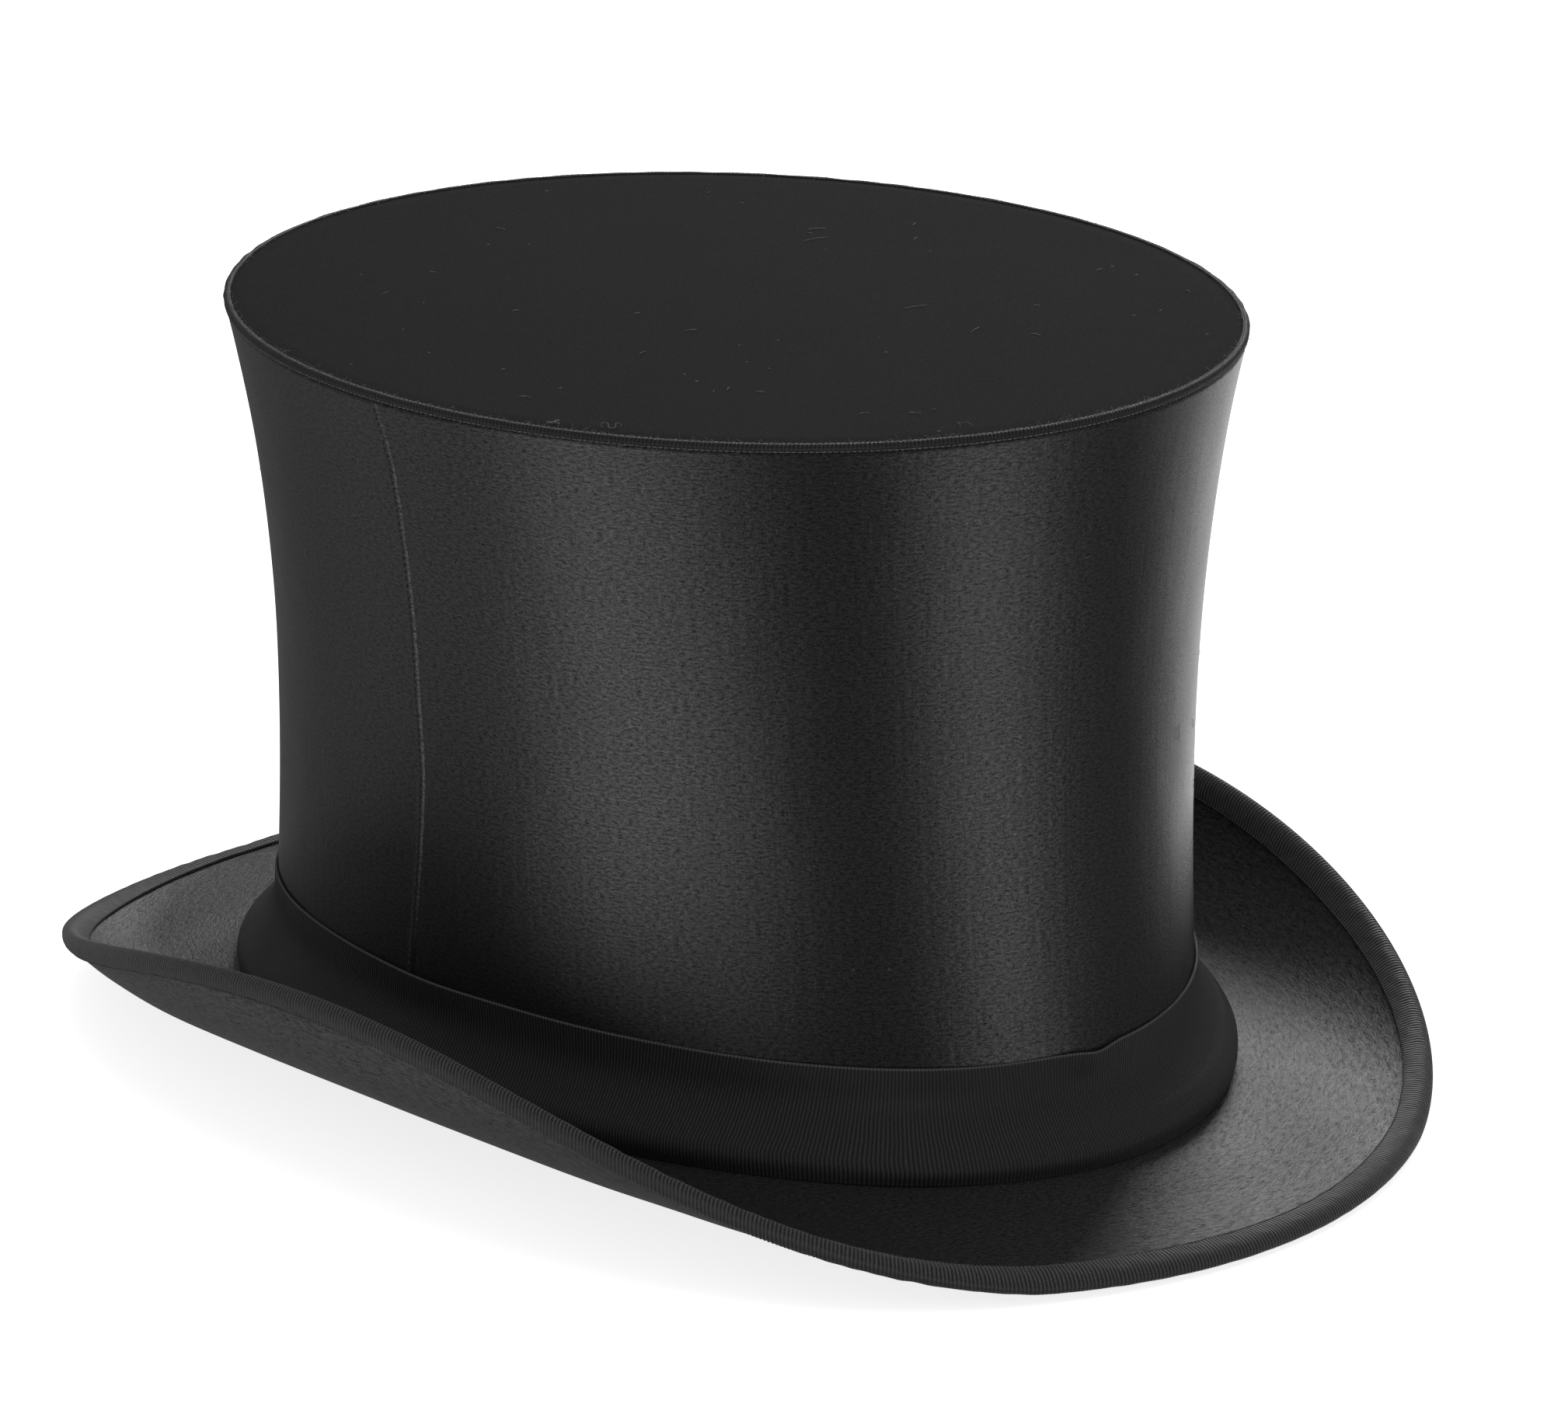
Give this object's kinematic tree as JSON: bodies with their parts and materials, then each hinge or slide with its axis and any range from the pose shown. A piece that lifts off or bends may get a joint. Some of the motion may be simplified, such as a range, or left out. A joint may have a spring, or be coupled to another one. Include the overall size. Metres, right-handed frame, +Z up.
{
  "type": "collapsible top hat",
  "caption": "Collapsible top hat: satin crown on a folding spring frame, flat tip, ribbed band and a brim with upswept bound sides.",
  "frame": {"origin": "under the middle of the brim, at its lowest point", "axes": "+Z up, the front of the hat towards -Y, the wearer's left towards +X"},
  "size_m": [0.2366, 0.3068, 0.1603],
  "materials": {
    "board": "stiffened buckram",
    "brim_satin": "fine ribbed satin",
    "grosgrain": "ribbed grosgrain",
    "spring_steel": "blued spring steel",
    "bracket_steel": "pressed steel",
    "brass": "dull brass",
    "crown_satin": "satin with soft sheen",
    "lining": "thin satin lining",
    "tip_cloth": "dull wool cloth",
    "sweat_leather": "smooth leather"
  },
  "bodies": {
    "base": {"brim_board": "board", "brim_cover_top": "brim_satin", "brim_cover_under": "brim_satin", "brim_binding": "grosgrain", "brim_wire": "spring_steel", "crown_collar": "board", "hat_band": "grosgrain", "band_bow": "grosgrain", "sweatband": "sweat_leather", "sweatband_reed": "sweat_leather", "sweatband_bow": "grosgrain", "lower_hoop": "spring_steel", "lower_bracket_front": "bracket_steel", "lower_bracket_back": "bracket_steel", "lower_bracket_left": "bracket_steel", "lower_bracket_right": "bracket_steel", "lower_rivets": "brass", "lower_pivot_pins": "brass", "crown_cover": "crown_satin", "crown_lining": "lining"},
    "front_lower_arm": {"front_lower_link": "bracket_steel", "front_elbow_pin": "brass", "front_elbow_spring": "spring_steel"},
    "front_upper_arm": {"front_upper_link": "bracket_steel"},
    "back_lower_arm": {"back_lower_link": "bracket_steel", "back_elbow_pin": "brass", "back_elbow_spring": "spring_steel"},
    "back_upper_arm": {"back_upper_link": "bracket_steel"},
    "left_lower_arm": {"left_lower_link": "bracket_steel", "left_elbow_pin": "brass", "left_elbow_spring": "spring_steel"},
    "left_upper_arm": {"left_upper_link": "bracket_steel"},
    "right_lower_arm": {"right_lower_link": "bracket_steel", "right_elbow_pin": "brass", "right_elbow_spring": "spring_steel"},
    "right_upper_arm": {"right_upper_link": "bracket_steel"},
    "tip": {"upper_hoop": "spring_steel", "upper_bracket_front": "bracket_steel", "upper_bracket_back": "bracket_steel", "upper_bracket_left": "bracket_steel", "upper_bracket_right": "bracket_steel", "upper_rivets": "brass", "upper_pivot_pins": "brass", "tip_board": "board", "tip_cover": "tip_cloth", "tip_cord": "tip_cloth", "tip_lining": "lining"}
  },
  "joints": [
    {"name": "fold", "type": "hinge", "parent": "base", "child": "front_lower_arm", "pos_m": [0, -0.09843, 0.03083], "axis": [-1, 0, 0], "range_deg": [0, 80], "stiffness_Nm_per_rad": 0.02, "springref_deg": -68.75, "deforming": ["crown_cover", "crown_lining"]},
    {"name": "front_elbow", "type": "hinge", "parent": "front_lower_arm", "child": "front_upper_arm", "pos_m": [0, -0.09231, 0.08908], "axis": [-1, 0, 0], "range_deg": [-161, 1], "deforming": ["front_elbow_spring"]},
    {"name": "back_knee_lower", "type": "hinge", "parent": "base", "child": "back_lower_arm", "pos_m": [0, 0.09843, 0.03083], "axis": [1, 0, 0], "range_deg": [0, 80]},
    {"name": "back_elbow", "type": "hinge", "parent": "back_lower_arm", "child": "back_upper_arm", "pos_m": [0, 0.09231, 0.08908], "axis": [1, 0, 0], "range_deg": [-161, 1], "deforming": ["back_elbow_spring"]},
    {"name": "left_knee_lower", "type": "hinge", "parent": "base", "child": "left_lower_arm", "pos_m": [0.07412, 0, 0.03083], "axis": [0, -1, 0], "range_deg": [0, 80]},
    {"name": "left_elbow", "type": "hinge", "parent": "left_lower_arm", "child": "left_upper_arm", "pos_m": [0.068, 0, 0.08908], "axis": [0, -1, 0], "range_deg": [-161, 1], "deforming": ["left_elbow_spring"]},
    {"name": "right_knee_lower", "type": "hinge", "parent": "base", "child": "right_lower_arm", "pos_m": [-0.07412, 0, 0.03083], "axis": [0, 1, 0], "range_deg": [0, 80]},
    {"name": "right_elbow", "type": "hinge", "parent": "right_lower_arm", "child": "right_upper_arm", "pos_m": [-0.068, 0, 0.08908], "axis": [0, 1, 0], "range_deg": [-161, 1], "deforming": ["right_elbow_spring"]},
    {"name": "tip_level", "type": "hinge", "parent": "front_upper_arm", "child": "tip", "pos_m": [0, -0.09843, 0.14733], "axis": [-1, 0, 0], "range_deg": [-1, 81]}
  ],
  "couplings": [
    {"joint": "front_elbow", "follows": "fold", "ratio": -2},
    {"joint": "back_knee_lower", "follows": "fold", "ratio": 1},
    {"joint": "back_elbow", "follows": "fold", "ratio": -2},
    {"joint": "left_knee_lower", "follows": "fold", "ratio": 1},
    {"joint": "left_elbow", "follows": "fold", "ratio": -2},
    {"joint": "right_knee_lower", "follows": "fold", "ratio": 1},
    {"joint": "right_elbow", "follows": "fold", "ratio": -2},
    {"joint": "tip_level", "follows": "fold", "ratio": 1}
  ]
}
